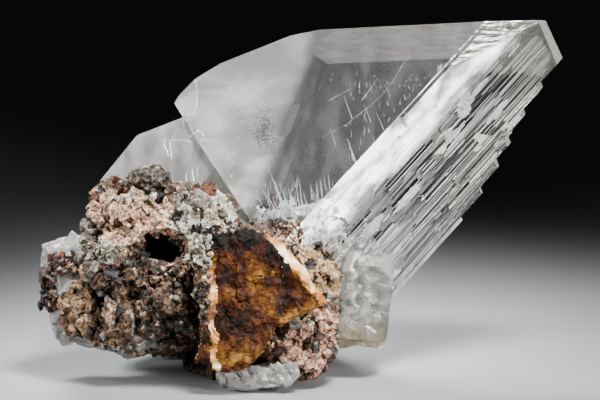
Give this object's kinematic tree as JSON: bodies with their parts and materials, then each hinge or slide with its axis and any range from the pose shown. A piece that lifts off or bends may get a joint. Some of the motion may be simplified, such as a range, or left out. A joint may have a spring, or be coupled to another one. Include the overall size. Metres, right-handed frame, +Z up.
{
  "type": "selenite crystal specimen",
  "caption": "Clear bladed selenite crystal with a striated side, leaning out of a rough brown rock matrix that carries a honey-coloured slab and small clear crystals.",
  "frame": {"origin": "middle of the flat break on the underside of the rock, which the specimen rests on", "axes": "+Z up, +X towards the side that the crystal leans to, +Y away from the broad front with the slab"},
  "size_m": [0.18, 0.1097, 0.119],
  "materials": {
    "selenite": "polished",
    "rock": "matte",
    "honey_slab": "matte",
    "dark_nodule": "matte"
  },
  "bodies": {
    "root": {"selenite_crystal": "selenite", "left_crystal": "selenite", "underside_crystal": "selenite", "front_foot_crystal": "selenite", "matrix_rock": "rock", "honey_slab": "honey_slab", "dark_nodule": "dark_nodule"}
  },
  "joints": []
}
